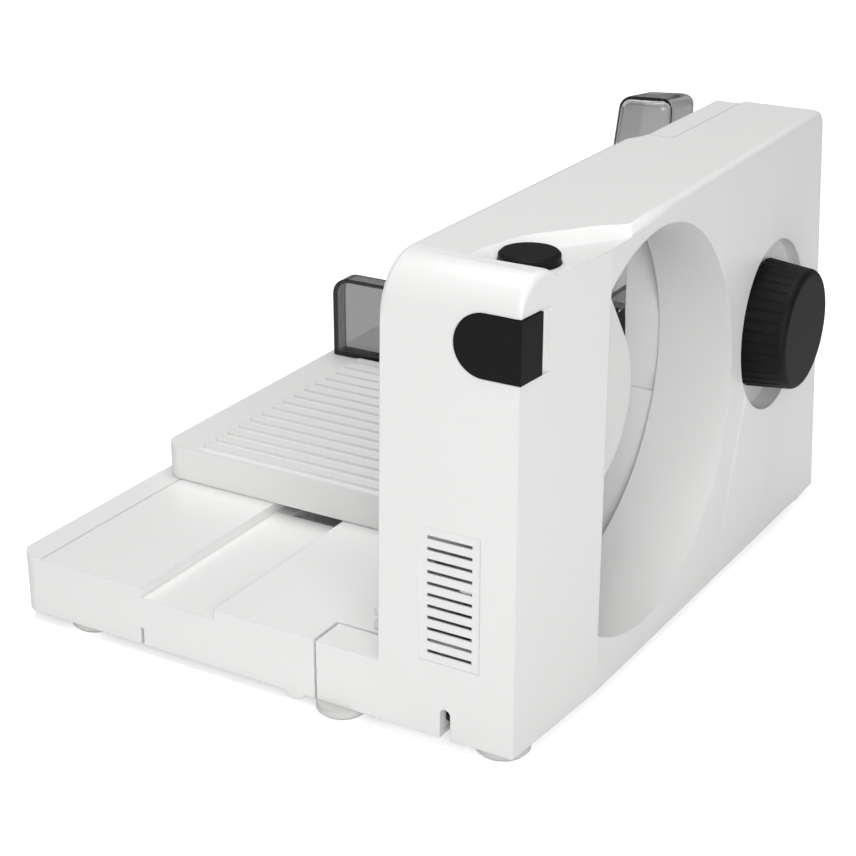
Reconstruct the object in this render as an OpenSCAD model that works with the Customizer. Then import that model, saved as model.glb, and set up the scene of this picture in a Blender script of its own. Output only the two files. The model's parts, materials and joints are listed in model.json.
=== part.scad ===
// Folding electric food slicer, seen as it stands on a worktop.
// X runs along the slab from the motor end to the user's end, Y from the chute face to the carriage side.

/* [Housing slab] */
// Length of the slab along the carriage's travel
slab_len = 303; // [290:1:320]
// Height of the slab above its own underside
slab_h = 191; // [188:1:200]
// Thickness of the slab at its top edge
slab_t = 57.5; // [56:0.5:60]
// Lean of the blade side, how much further out it stands at the foot
blade_side_lean = 2.9; // [1:0.1:4]
// How far the chute face bulges out beside the motor chamber
face_bulge = 5; // [3:0.5:6]
// How far the chute face stands out at the foot of the user's end
face_flare = 9.5; // [6:0.5:11]
// Wall of the housing mouldings
wall = 2.5; // [2:0.1:3]
// Radius of the rounded top at the motor end, blade side
crown_r = 20; // [14:1:24]
// Radius of the rounded top at the motor end, chute side
crown_small_r = 14; // [10:1:14]
// Rounding of the slab's long top edges
edge_r = 3; // [2:0.5:4]
// Length of the motor chamber behind the near end face
motor_bay_len = 62.5; // [61:0.5:66]

/* [Blade and chute] */
// Diameter of the round knife
blade_d = 170; // [164:1:172]
// Distance of the knife's axis from the near end face
blade_x = 112; // [110:1:115]
// Height of the knife's axis above the slab's underside
blade_z = 99.5; // [97:0.5:101]
// Cutting plane of the knife, from the chute face's near edge
blade_plane = 60; // [59.5:0.1:60.5]
// Radius of the chute's mouth in the long face
chute_mouth_r = 85.15; // [80:0.05:86]
// Radius of the chute's inner rim behind the knife
chute_rim_r = 81; // [76:0.5:83]
// Depth of the chute's inner rim
chute_depth = 33; // [28:1:35]
// Radius of the gear case's round nose
hub_r = 38; // [37.5:0.5:41]

/* [Thickness setting] */
// Thickness of slice at rest
slice_set = 10; // [8:0.5:11]
// Diameter of the setting knob at its foot
knob_d = 60; // [52:1:64]
// Diameter of the recess round the knob
knob_recess_d = 79.4; // [74:1:82]
// Distance of the knob's axis from the near end face
knob_x = 244; // [240:1:246]
// Height of the knob's axis above the slab's underside
knob_z = 102.5; // [98:0.5:108]

/* [Table and carriage] */
// Reach of the folding table from the chute face's near edge
table_reach = 245; // [235:1:255]
// Height of the table's top above its underside
table_h = 27; // [25:0.5:29]
// Position of the fold line, from the chute face's near edge
fold_y = 89.75; // [88:0.25:92]
// Start of the carriage, from the near end face
carriage_x = 98; // [92:1:104]
// Length of the carriage tray
carriage_len = 202; // [190:1:204]
// Width of the ribbed tray across the travel
carriage_w = 179; // [170:1:182]
// Number of raised ribs on the tray
rib_count = 15; // [8:1:20]
// Height of the smoked hand guard above the tray
guard_h = 43; // [36:1:50]
// Height of the food holder's grip above the tray
holder_h = 153; // [130:1:158]

/* [Buttons and feet] */
// Diameter of the round start button
start_d = 23; // [20:0.5:24]
// Stroke of the start button
start_stroke = 2.5; // [1.5:0.5:3]
// Height of the locking button
lock_h = 24; // [20:0.5:26]
// Stroke of the locking button along the slab
lock_stroke = 2.4; // [1.5:0.1:2.6]
// Height of the feet below the slab
foot_h = 4.5; // [4:0.25:6]
// Diameter of the feet
foot_d = 22; // [18:1:24]

/* [Hidden] */
$fn = 64;

// Shared clearances and overruns
over = 1;
gap = 0.3;
seat_gap = 0.05;
run_fit = 0.05;
turn = 360;
quarter = 90;

// Outline of the slab
far_r = 5;
side_run = slab_len - motor_bay_len;
rear_y = 38;
step_x = 215;
step_start_x = 196;
step_y = 50.5;
crown_steps = 8;
corner_steps = 6;
scoop_depth = 4;
scoop_ramp = 6;
scoop_near_x = 18;
scoop_x = 85.5;
scoop_y = 31;
scoop_bends = [[75.9, 7], [50.5, 25.2], [30, 31]];

// Hinge ears at the foot of the slab
ear_len = 17;
ear_gap = 0.55;
ear_y = fold_y - ear_gap;
ear_drop = 0.5;
hinge_drop = 2.7;
hinge_inset = 3.25;
hinge_pin_r = 1.3;
hinge_pin_len = 16;
hinge_knuckle_r = 2.7;
hinge_knuckle_len = 12;
hinge_y = fold_y - hinge_inset;
hinge_z = table_h - hinge_drop;

// Vents and cord slot in the near end face
vent_count = 11;
vent_y = 18.5;
vent_len = 19.5;
vent_z = 36;
vent_pitch = 4.84;
vent_t = 1.4;
vent_border = 3.5;
vent_recess = 0.4;
cord_slot_y = 29.7;
cord_slot_w = 4.6;
cord_slot_h = 13;
cord_slot_in = 12;
cord_bush_r = 5.5;
cord_bush_wall = 1.6;
cord_bush_len = 7;
cord_rib_t = 2;

// Chute through the far part of the slab
chute_mouth_y = -4;
chute_mouth_back = 4.8;
chute_mouth_drop = 1.3;
chute_rim_ahead = 5.2;
chute_rim_rise = 2.9;
chute_mouth_x = blade_x - chute_mouth_back;
chute_mouth_z = blade_z - chute_mouth_drop;
chute_rim_x = blade_x + chute_rim_ahead;
chute_rim_z = blade_z + chute_rim_rise;
chute_out = 10;
chute_fn = 96;

// Gears, in millimetres of module
gear_m = 1;
pressure = 25;
tip_share = 0.8;
root_share = 1.05;
backlash = 0.12;
blade_teeth = 66;
idler_small_teeth = 20;
idler_big_teeth = 66;
pinion_teeth = 12;
idler_dir = 150;
motor_dir = 205;
deep_y = 29;
deep_w = 9;
shallow_y = 41;
shallow_w = 6;
idler_reach = gear_m * (blade_teeth + idler_small_teeth) / 2;
motor_reach = gear_m * (idler_big_teeth + pinion_teeth) / 2;
idler_x = blade_x + idler_reach * cos(idler_dir);
idler_z = blade_z + idler_reach * sin(idler_dir);
motor_x = idler_x + motor_reach * cos(motor_dir);
motor_z = idler_z + motor_reach * sin(motor_dir);

// Gear case and its lid
case_back_y = 24.4;
case_wall = 2.2;
case_front_y = 50;
lid_t = 2;
lid_y = case_front_y + lid_t;
case_step_y = 38.8;
case_step_t = 1.5;
arm_back = 24;
arm_rise = 50.5;
arm_x = blade_x - arm_back;
arm_z = blade_z + arm_rise;
arm_r = 28;
idler_deep_r = 15;
idler_wide_r = 37;
motor_lug_r = 20;
pinion_pocket_r = 9.5;
case_boss_r = 7;
blade_axle_r = 4;
idler_axle_r = 3;
idler_boss_r = 6;
case_lug_r = 5;
case_lug_t = 4;
case_post_r = 3.5;
lug_out = 4.5;
lug_reach = idler_wide_r + lug_out;
motor_lug_reach = motor_lug_r + lug_out;
lug_dirs = [130, 240, 200];
case_lugs = [
    [idler_x + lug_reach * cos(lug_dirs[0]), idler_z + lug_reach * sin(lug_dirs[0])],
    [idler_x + lug_reach * cos(lug_dirs[1]), idler_z + lug_reach * sin(lug_dirs[1])],
    [motor_x + motor_lug_reach * cos(lug_dirs[2]), motor_z + motor_lug_reach * sin(lug_dirs[2])]
];

// Knife and its carrier
blade_r = blade_d / 2;
blade_bore_r = 8;
blade_flange_r = 40;
blade_body_r = 76;
blade_t = 1.2;
blade_dish = 4.8;
blade_edge_t = 0.12;
blade_back_y = blade_plane - blade_dish - blade_t;
wave_count = 60;
wave_r = 3.2;
wave_depth = 0.45;
sleeve_r = 8;
carrier_r = 30;
carrier_t = 1.4;
lid_hole_gap = 1.2;
lid_hole_r = sleeve_r + lid_hole_gap;
spigot_len = 0.9;
cap_r = 13;
cap_t = 3.6;
cap_grip_w = 5;
stud_r = 3;
stud_len = 3.6;

// Motor
can_r = 18.5;
end_plate_r = 19.5;
can_wall = 1.6;
can_y = 8;
plate_t = 1.8;
can_end_y = case_step_y - plate_t;
shaft_r = 2.5;
shaft_y = 0.8;
shaft_end_y = 48.6;
core_r = 13;
core_y = 12;
core_len = 20;
core_slots = 9;
core_slot_w = 2.2;
core_slot_d = 3.4;
fan_y = 1.6;
fan_t = 5;
fan_r = 16.5;
fan_hub_r = 5;
fan_blade_t = 1.2;
fan_count = 7;
bearing_r = 5.5;
bearing_t = 1.4;
saddle_w = 8;

// Circuit board and start switch
board_x = 16;
board_z = 18;
board_len = 36;
board_h = 30;
board_t = 1.6;
board_y = 8;
board_post_r = 3;
board_inset = 4;
chip_w = 9;
chip_t = 6;
switch_w = 13;
switch_t = 8;
switch_h = 11;
switch_tip_r = 1.2;
switch_tip_h = 1.4;

// Start button
start_x = 33.3;
start_y = 14.4;
start_proud = 4.2;
start_skirt = 4.2;
start_flange = 1.1;
start_flange_t = 1.2;
start_dish_r = 60;
start_dish = 0.7;
stem_x = 39.3;
stem_r = 2.2;
stem_len = 5;
spring_r = 4;
spring_wall = 1;

// Locking button
lock_y = 26.6;
lock_x = 13.6;
lock_z = 152.9;
lock_proud = 0.7;
lock_tail = 6;
lock_tail_h = 7;
lock_fit = 0.35;
lock_slot_x = 19.5;
lock_recess_y = 0.6;

// Setting knob and stop plate
knob_r = knob_d / 2;
knob_front_r = 28;
knob_front_y = -20;
knob_round = 3;
knob_recess_r = knob_recess_d / 2;
knob_floor_y = 3;
knob_gap = 0.6;
knob_ribs = 36;
knob_rib_r = 1;
knob_rib_sink = 0.55;
knob_bore_y = -13;
spindle_r = 5;
spindle_end_y = 41;
spindle_collar_r = 8;
spindle_collar_t = 2;
nut_r = 9;
nut_y = 26;
stop_back_y = blade_plane - slice_set;
stop_t = 3;
stop_skirt_y = 27;
stop_skirt_t = 2;
stop_arc_gap = 2;
stop_arc_r = blade_r + stop_arc_gap;
stop_arc_wall = 4;
stop_skirt_arc_r = stop_arc_r + stop_arc_wall;
stop_skirt_short_y = chute_depth + gap;
stop_x = blade_x + blade_r + over;
stop_end_x = 294;
stop_low_z = 29.5;
stop_top_drop = 4.6;
stop_round = 5;
stop_groove_count = 3;
stop_corner_z = 150;
rod_r = 3;
rod_boss_r = 6;
rod_high_x = 272;
rod_high_z = 160;
rod_low_x = 272;
rod_low_z = 46;
rod_end_y = 41;
rod_seat = 8;

// Folding table
table_wall = 2.5;
deck_t = 4;
table_y = fold_y + ear_gap;
tongue_y = 64.4;
lane_y = 177;
lane_step_y = 139.5;
lane_drop = 4.5;
table_round = 9;
table_len = slab_len;
groove_y = 231;
groove_w = 0.9;
groove_d = 0.8;
notch_y = 177;
notch_w = 1.6;
notch_h = 8;
pocket_x = 99;
pocket_y = 124;
pocket_end_y = 168;
pocket_drop = 10;
pocket_end = 12;
nub_y = 100;
nub_r = 5;
nub_drop = 3;
deck_rib_t = 1.8;
deck_rib_h = 10;
deck_rib_count = 6;

// Feet
foot_plug_r = 4;
foot_plug_h = 2.2;
foot_round = 1.5;
foot_x = 12;
foot_ear_x = 6;
foot_far = 14;
foot_slab_y = 10.5;
foot_far_y = 3.5;
foot_ear_y = 80.5;
foot_table_y = 212.5;
foot_r = foot_d / 2;

// Carriage, guard and food holder
carriage_y = 61.5;
carriage_end_x = carriage_x + carriage_len;
carriage_outer_y = carriage_y + carriage_w;
tray_h = 16.5;
tray_t = 3;
tray_z = table_h + gap;
tray_top = tray_z + tray_h;
tray_wall = 2.5;
tray_round = 9;
rib_h = 1.2;
rib_w = 5;
rib_pitch = 9.4;
rib_inset_x = 7;
rib_inset_y = 22;
rail_y = 70;
rail_w = 8;
rail_h = 9;
rail_x = 20;
rail_len = 262;
rail_groove = 2;
guard_x = 240;
guard_t = 2;
guard_rim = 8;
guard_inner_y = 64;
guard_inset = 4;
guard_outer_y = carriage_outer_y - guard_inset;
guard_round = 9;
guard_foot = 6;
holder_x = 262;
holder_top_x = 264;
holder_end_x = 297;
holder_top_end_x = 297;
holder_fall_x = 5;
holder_fall_y = 3;
holder_y = 61.8;
holder_w = 44;
holder_top_w = 27;
holder_wall = 2;
holder_round = 5;
bridge_t = 3;
bridge_x = 214;
bridge_w = 34;
press_x = 160;
press_w = 76;
press_t = 2.5;
press_h = 66;
press_lift = 2;
spike_r = 1.4;
spike_h = 2;
spike_rows = 4;
spike_cols = 7;

// Blade side cover and screws
cover_gap = 0.15;
cover_hole_gap = 1.6;
cover_hole_r = blade_r + cover_hole_gap;
well_wall = 2;
well_top = 78;
screw_head_r = 3;
screw_head_t = 1.8;
screw_shank_r = 1.4;
screw_len = 10;
screw_post_r = 4;
bottom_t = 2;

// Place of the part's own origin, under the middle of its box
origin_x = (slab_len + foot_ear_x - foot_r) / 2;
origin_y = (table_reach + knob_front_y) / 2;

// Shapes along the slab's two level axes
module along_y(y0, y1) {
    translate([0, y1, 0])
        rotate([quarter, 0, 0])
            linear_extrude(y1 - y0)
                children();
}

module along_x(x0, x1) {
    translate([x0, 0, 0])
        rotate([quarter, 0, quarter])
            linear_extrude(x1 - x0)
                children();
}

module rod_y(x, z, r, y0, y1) {
    translate([x, y1, z])
        rotate([quarter, 0, 0])
            cylinder(r = r, h = y1 - y0);
}

module block(x0, x1, y0, y1, z0, z1) {
    translate([x0, y0, z0])
        cube([x1 - x0, y1 - y0, z1 - z0]);
}

module round_rect(x0, x1, z0, z1, r) {
    hull() {
        translate([x0 + r, z0 + r]) circle(r, $fn = 32);
        translate([x1 - r, z0 + r]) circle(r, $fn = 32);
        translate([x0 + r, z1 - r]) circle(r, $fn = 32);
        translate([x1 - r, z1 - r]) circle(r, $fn = 32);
    }
}

module seated() {
    translate([-origin_x, -origin_y, foot_h])
        children();
}

// Surfaces of the slab
function along(x) = max(0, (x - motor_bay_len) / side_run);
function face_near(x) = -face_bulge * min(1, x / motor_bay_len);
function face_far(x, z) = let (s = along(x), q = z / slab_h)
    face_bulge * s * q - (face_flare - face_bulge) * s * (1 - q);
function face_y(x, z) = face_near(x) + face_far(x, z);
function side_y(z) = slab_t + blade_side_lean * (1 - z / slab_h);
function crown(x, r) = x < r ? sqrt(r * r - (r - x) * (r - x)) - r : 0;
function roof_z(x, r) = slab_h + crown(x, r) + crown(slab_len - x, far_r);

// Cross-section of the slab at one station, shrunk by a wall on three sides
function arc_points(y, z, r, a0) =
    [for (i = [0:corner_steps]) [y + r * cos(a0 + quarter * i / corner_steps),
                                 z + r * sin(a0 + quarter * i / corner_steps)]];
function section(x, w, front) = let (
    zr = roof_z(x, crown_r) - w,
    zl = roof_z(x, crown_small_r) - w,
    r = max(edge_r - w, edge_r / 4),
    yr = (front ? side_y(slab_h) : side_y(slab_h) + over),
    yl = face_y(x, zl) + w,
    zb = front ? 0 : -over)
    concat(
        [[face_y(x, 0) + w, zb], [side_y(0) + (front ? 0 : over), zb]],
        arc_points(yr - r, zr - r, r, 0),
        arc_points(yl + r, zl - r, r, quarter));

// Solid swept through the slab's cross-sections
module slab_solid(stations, w, front) {
    rings = [for (x = stations) [for (p = section(x, w, front)) [x, p[0], p[1]]]];
    n = len(rings[0]);
    m = len(rings);
    points = [for (ring = rings) for (p = ring) p];
    sides = [for (i = [0:m - 2]) for (j = [0:n - 1]) let (
        a = i * n + j, b = i * n + (j + 1) % n, c = a + n, d = b + n)
        each [[a, c, b], [b, c, d]]];
    near = [[for (j = [0:n - 1]) j]];
    far = [[for (j = [0:n - 1]) (m - 1) * n + n - 1 - j]];
    polyhedron(points = points, faces = concat(sides, near, far));
}

crown_stations = [for (i = [0:crown_steps]) crown_r * (1 - cos(quarter * i / crown_steps))];
far_stations = [for (i = [0:corner_steps]) slab_len - far_r * (1 - sin(quarter * i / corner_steps))];
span_count = 4;
span_stations = [for (i = [1:span_count - 1]) motor_bay_len + (side_run - far_r) * i / span_count];
outer_stations = concat(crown_stations, [motor_bay_len], span_stations, far_stations);
inner_stations = concat(
    [wall],
    [for (x = crown_stations) if (x > wall + over) x],
    [motor_bay_len], span_stations, [slab_len - far_r, slab_len - wall]);

// Gear outlines
function inv_turn(a) = tan(a) * 180 / PI - a;
function flank_half(r, rb, base_half) = r <= rb ? base_half
    : let (t = sqrt(r * r / (rb * rb) - 1)) base_half - (t * 180 / PI - atan(t));
function tooth_points(teeth, i) = let (
    rp = gear_m * teeth / 2,
    rb = rp * cos(pressure),
    half = quarter / teeth - backlash / rp * quarter / PI + inv_turn(pressure),
    tip = rp + tip_share * gear_m,
    root = rp - root_share * gear_m,
    radii = [root, max(root, rb), (rp + max(root, rb)) / 2, rp, (rp + tip) / 2, tip],
    a = turn * i / teeth)
    concat(
        [for (r = radii) let (h = flank_half(r, rb, half)) [r * cos(a - h), r * sin(a - h)]],
        [for (k = [len(radii) - 1:-1:0]) let (r = radii[k], h = flank_half(r, rb, half))
            [r * cos(a + h), r * sin(a + h)]]);
module gear_outline(teeth) {
    polygon([for (i = [0:teeth - 1]) each tooth_points(teeth, i)]);
}
module gear(x, z, teeth, phase, y0, w) {
    along_y(y0, y0 + w)
        translate([x, z])
            rotate(phase)
                gear_outline(teeth);
}

// Chute, as a slanted cone from its mouth to its rim
function chute_at(y, a, b) = a + (b - a) * (y - chute_mouth_y) / (chute_depth - chute_mouth_y);
module chute_cone(extra, y0, y1) {
    hull() {
        for (y = [y0, y1])
            rod_y(chute_at(y, chute_mouth_x, chute_rim_x), chute_at(y, chute_mouth_z, chute_rim_z),
                chute_at(y, chute_mouth_r, chute_rim_r) + extra, y, y + gap / 10, $fn = chute_fn);
    }
}

// Shallow scoop round the start button
module scoop() {
    floor_z = slab_h - scoop_depth;
    top = [
        [scoop_near_x, -face_flare], [scoop_x, -face_flare], [scoop_x, face_near(scoop_x)],
        each scoop_bends, [scoop_near_x, scoop_y]
    ];
    hull() {
        translate([0, 0, floor_z])
            linear_extrude(gap / 10)
                polygon([for (p = top) [p[0] - (p[0] > scoop_near_x ? scoop_ramp : -scoop_ramp),
                                        p[1] - (p[1] > 0 ? scoop_ramp : 0)]]);
        translate([0, 0, slab_h + gap / 10])
            linear_extrude(over)
                polygon(top);
    }
}

// D-shaped outline of the locking button, on the near end face
module lock_outline(fit) {
    r = lock_h / 2;
    translate([lock_y - r, lock_z + r])
        circle(r + fit);
    translate([-face_flare, lock_z - fit])
        square([face_flare + lock_y - r, lock_h + 2 * fit]);
}
module lock_plan(fit, x1) {
    slope = face_bulge / motor_bay_len;
    translate([0, 0, lock_z - over])
        linear_extrude(lock_h + 2 * over)
            polygon([
                [-lock_proud - fit, -lock_proud - fit], [x1, -lock_proud - fit - slope * x1],
                [x1, lock_y + over], [-lock_proud - fit, lock_y + over]
            ]);
}

// Posts inside the slab for the cover's screws
post_inset = 9;
cover_posts = [
    [post_inset, table_h + post_inset], [post_inset, lock_z - post_inset - screw_post_r],
    [(blade_x + step_x) / 2, wall + screw_post_r], [step_start_x - screw_post_r, wall + post_inset],
    [step_start_x - screw_post_r, slab_h - wall - post_inset - screw_post_r],
    [motor_bay_len - post_inset, slab_h - wall - screw_post_r - over]
];

// S-shaped turn of the front edge, from the knife's cover back to the stop plate
s_steps = 8;
s_curve = [for (i = [0:s_steps]) let (q = i / s_steps)
    [step_start_x + (step_x - step_start_x) * q, slab_t + (step_y - slab_t) * (3 - 2 * q) * q * q]];

module step_back() {
    translate([0, 0, table_h])
        linear_extrude(slab_h)
            polygon(concat(
                [[step_start_x, slab_t + 2 * face_flare]], s_curve,
                [[step_x, rear_y], [slab_len + over, rear_y], [slab_len + over, slab_t + 2 * face_flare]]));
}

// Ears at the foot of the slab, hollow from below, that hold the hinge pins
module hinge_ears() {
    color("white")
        seated()
            difference() {
                union() {
                    difference() {
                        for (x = [0, slab_len - ear_len])
                            block(x, x + ear_len, slab_t, ear_y, 0, table_h - ear_drop);
                        slab_solid(outer_stations, 0, true);
                    }
                    block(wall, ear_len, slab_t - wall, side_y(0) + over, bottom_t + gap, table_h - ear_drop);
                }
                for (x = [0, slab_len - ear_len])
                    block(x + wall, x + ear_len - wall, side_y(0) + wall, foot_ear_y - foot_plug_r - wall,
                        -over, table_h - ear_drop - wall);
                for (x = [ear_len - hinge_pin_len / 2, slab_len - ear_len - over])
                    translate([x, hinge_y, hinge_z])
                        rotate([0, quarter, 0])
                            cylinder(r = hinge_pin_r, h = hinge_pin_len / 2 + over, $fn = 32);
                foot_holes([[foot_ear_x, foot_ear_y], [slab_len - foot_far, foot_ear_y]]);
            }
}

// Tube of the chute, from the long face's wall to its rim behind the knife
module chute_hole() {
    intersection() {
        chute_cone(0, -chute_out, chute_depth + over);
        block(motor_bay_len, slab_len, -chute_out - over, chute_depth + over, 0, slab_h);
    }
}
module arm_room() {
    rod_y(arm_x, arm_z, arm_r + gap, case_back_y, slab_t, $fn = chute_fn);
}
module chute_liner() {
    color("white")
        seated()
            difference() {
                intersection() {
                    slab_solid(inner_stations, wall, false);
                    chute_cone(wall, -chute_out, chute_depth);
                    block(motor_bay_len, slab_len, -chute_out, chute_depth, 0, slab_h);
                }
                chute_hole();
                arm_room();
            }
}

module housing_shell() {
    color("white")
        seated()
            difference() {
                union() {
                    difference() {
                        slab_solid(outer_stations, 0, true);
                        slab_solid(inner_stations, wall, false);
                    }
                    intersection() {
                        slab_solid(outer_stations, 0, true);
                        union() {
                            block(motor_bay_len - wall, motor_bay_len, -chute_out, case_back_y,
                                bottom_t + gap, slab_h);
                            rod_y(knob_x, knob_z, knob_recess_r + wall, -chute_out, knob_floor_y + wall);
                            rod_y(knob_x, knob_z, nut_r, 0, knob_floor_y + rod_seat);
                            block(0, scoop_x + wall, -chute_out, scoop_y + wall,
                                slab_h - scoop_depth - wall, slab_h);
                            for (p = cover_posts)
                                rod_y(p[0], p[1], screw_post_r, -chute_out, side_y(p[1] + screw_post_r) - wall);
                            for (p = case_lugs)
                                rod_y(p[0], p[1], case_post_r, -chute_out, case_front_y - case_lug_t);
                            for (p = [[rod_high_x, rod_high_z], [rod_low_x, rod_low_z]])
                                rod_y(p[0], p[1], rod_boss_r, -chute_out, rod_seat);
                            lock_collar();
                            switch_bracket();
                            board_posts();
                            cord_seat();
                            sill();
                        }
                    }
                }
                chute_hole();
                rod_y(knob_x, knob_z, knob_recess_r, -chute_out - over, knob_floor_y);
                arm_room();
                rod_y(knob_x, knob_z, spindle_r + run_fit, 0, knob_floor_y + rod_seat + over);
                scoop();
                step_back();
                lock_cut();
                vents();
                cord_slot();
                translate([start_x, start_y, slab_h - scoop_depth - wall - over])
                    cylinder(d = start_d + 2 * gap, h = slab_h);
                for (p = [[rod_high_x, rod_high_z], [rod_low_x, rod_low_z]])
                    rod_y(p[0], p[1], rod_r + seat_gap, 0, rod_seat + over);
                for (p = cover_posts)
                    rod_y(p[0], p[1], screw_shank_r, side_y(p[1]) - screw_head_t - screw_len - over, slab_t + wall);
                for (p = case_lugs)
                    rod_y(p[0], p[1], screw_shank_r, case_front_y - screw_len, case_front_y);
            }
}

// Pieces of the housing that hold the small parts
module lock_collar() {
    intersection() {
        along_x(0, lock_x - lock_stroke - over)
            lock_outline(wall);
        block(0, slab_len, -chute_out, slab_t, 0, slab_h);
    }
    block(0, lock_slot_x + lock_tail + wall, lock_y - lock_tail_h - wall, lock_y, lock_z - 2 * wall, lock_z - wall);
    block(lock_pass_x, lock_slot_x + wall, -chute_out, lock_recess_y + wall, lock_z - wall, lock_z + lock_h + wall);
    block(lock_slot_x + lock_tail, lock_slot_x + lock_tail + wall, lock_y - lock_tail_h - wall, lock_y,
        lock_z - 2 * wall, lock_z + lock_h / 2 + lock_tail_h / 2);
}

lock_pass_x = lock_x + lock_stroke + lock_fit;
module lock_cut() {
    for (c = [[lock_pass_x, slab_t], [lock_slot_x, lock_recess_y]])
        intersection() {
            along_x(-2 * over, c[0])
                lock_outline(lock_fit);
            block(-2 * over, c[0], -chute_out, c[1], 0, slab_h);
        }
}

switch_x = stem_x - switch_w / 2;
switch_y = start_y - switch_t / 2;
start_low_z = slab_h - scoop_depth - wall - gap - start_flange_t;
switch_top_z = start_low_z - stem_len - start_stroke - gap - switch_tip_h;

module switch_bracket() {
    block(switch_x + over, switch_x + switch_w - over, -chute_out, switch_y,
        switch_top_z - switch_h + over, switch_top_z - over);
}

module board_posts() {
    for (x = [board_x + board_inset, board_x + board_len - board_inset])
        for (z = [board_z + board_inset, board_z + board_h - board_inset])
            rod_y(x, z, board_post_r, -chute_out, board_y);
}

module cord_seat() {
    block(0, cord_slot_in, cord_slot_y - cord_bush_r - wall, cord_slot_y + cord_bush_r + wall,
        bottom_t + gap, cord_slot_h + cord_bush_r);
}

module sill() {
    x0 = step_start_x + cover_gap;
    block(x0, slab_len, chute_depth, side_y(0), table_h - wall, table_h);
    block(x0, slab_len, slab_t, side_y(0) + over, 0, table_h);
}

module vents() {
    for (i = [0:vent_count - 1])
        block(-over, wall + over, vent_y, vent_y + vent_len,
            vent_z + i * vent_pitch, vent_z + i * vent_pitch + vent_t);
    block(-over, vent_recess, vent_y - vent_border, vent_y + vent_len + vent_border,
        vent_z - vent_border, vent_z + (vent_count - 1) * vent_pitch + vent_t + vent_border);
}

module cord_slot() {
    block(-over, cord_slot_in + over, cord_slot_y - cord_slot_w / 2, cord_slot_y + cord_slot_w / 2,
        -over, cord_slot_h - cord_slot_w / 2);
    translate([-over, cord_slot_y, cord_slot_h - cord_slot_w / 2])
        rotate([0, quarter, 0])
            cylinder(d = cord_slot_w, h = cord_slot_in + 2 * over);
    translate([cord_slot_in - cord_bush_len, cord_slot_y, cord_slot_h - cord_slot_w / 2])
        rotate([0, quarter, 0])
            cylinder(r = cord_bush_r, h = cord_bush_len + over);
}

module cord_bush() {
    color("dimgray")
        seated()
            translate([cord_slot_in - cord_bush_len, cord_slot_y, cord_slot_h - cord_slot_w / 2])
                rotate([0, quarter, 0])
                    difference() {
                        cylinder(r = cord_bush_r, h = cord_bush_len);
                        translate([0, 0, -over])
                            cylinder(r = cord_bush_r - cord_bush_wall, h = cord_bush_len + 2 * over);
                    }
}

module foot_holes(places) {
    for (p = places)
        translate([p[0], p[1], -over])
            cylinder(r = foot_plug_r, h = foot_plug_h + over);
}

// Plate on the blade side, with the hole that the knife turns in
module blade_side_cover() {
    color("white")
        seated()
            difference() {
                union() {
                    intersection() {
                        along_x(wall + cover_gap, step_start_x)
                            polygon([
                                [side_y(0) - wall, 0], [side_y(0), 0],
                                [side_y(slab_h), slab_h], [side_y(slab_h) - wall, slab_h]
                            ]);
                        block(0, slab_len, 0, 2 * slab_t, 0, slab_h - wall - cover_gap);
                    }
                    cover_corner();
                    knife_well();
                }
                block(0, ear_len + gap, 0, 2 * slab_t, -over, table_h);
                difference() {
                    block(0, crown_r, 0, 2 * slab_t, slab_h - crown_r, slab_h);
                    rod_y(crown_r, slab_h - crown_r, crown_r - wall - cover_gap, -over, 2 * slab_t + over);
                }
                rod_y(blade_x, blade_z, cover_hole_r, 0, 2 * slab_t, $fn = chute_fn);
                for (p = cover_posts) {
                    rod_y(p[0], p[1], screw_shank_r + run_fit, 0, 2 * slab_t);
                    rod_y(p[0], p[1], screw_head_r + gap, side_y(p[1]) - screw_head_t, 2 * slab_t);
                }
            }
}

module cover_corner() {
    translate([0, 0, stop_corner_z])
        linear_extrude(slab_h - wall - cover_gap - stop_corner_z)
            polygon(concat(
                s_curve,
                [[step_x, rear_y], [step_x - wall, rear_y]],
                [for (i = [s_steps:-1:0]) [s_curve[i][0] - wall * i / s_steps, s_curve[i][1] - wall]]));
}

// Wall of the well that the knife turns in, behind the chute's rim
module knife_well() {
    difference() {
        intersection() {
            rod_y(blade_x, blade_z, cover_hole_r + well_wall, chute_depth + gap, side_y(0), $fn = chute_fn);
            along_x(motor_bay_len, stop_x - gap)
                polygon([[0, 0], [side_y(0), 0], [side_y(well_top), well_top], [0, well_top]]);
        }
        along_y(case_back_y, lid_y + gap) {
            case_deep(-gap);
            case_wide(-gap, motor_lug_r + gap);
        }
    }
}

module bottom_cover() {
    e = wall + gap;
    color("white")
        seated()
            difference() {
                linear_extrude(bottom_t)
                    polygon([
                        [e, face_y(e, 0) + e], [motor_bay_len, e - face_bulge],
                        [slab_len - e, face_y(slab_len, 0) + e], [slab_len - e, slab_t - cover_gap],
                        [e, slab_t - cover_gap]
                    ]);
                block(0, cord_slot_in + gap, cord_slot_y - cord_slot_w / 2, cord_slot_y + cord_slot_w / 2,
                    -over, bottom_t + over);
                foot_holes([[foot_x, foot_slab_y], [slab_len - foot_far, foot_far_y]]);
            }
}

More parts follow.
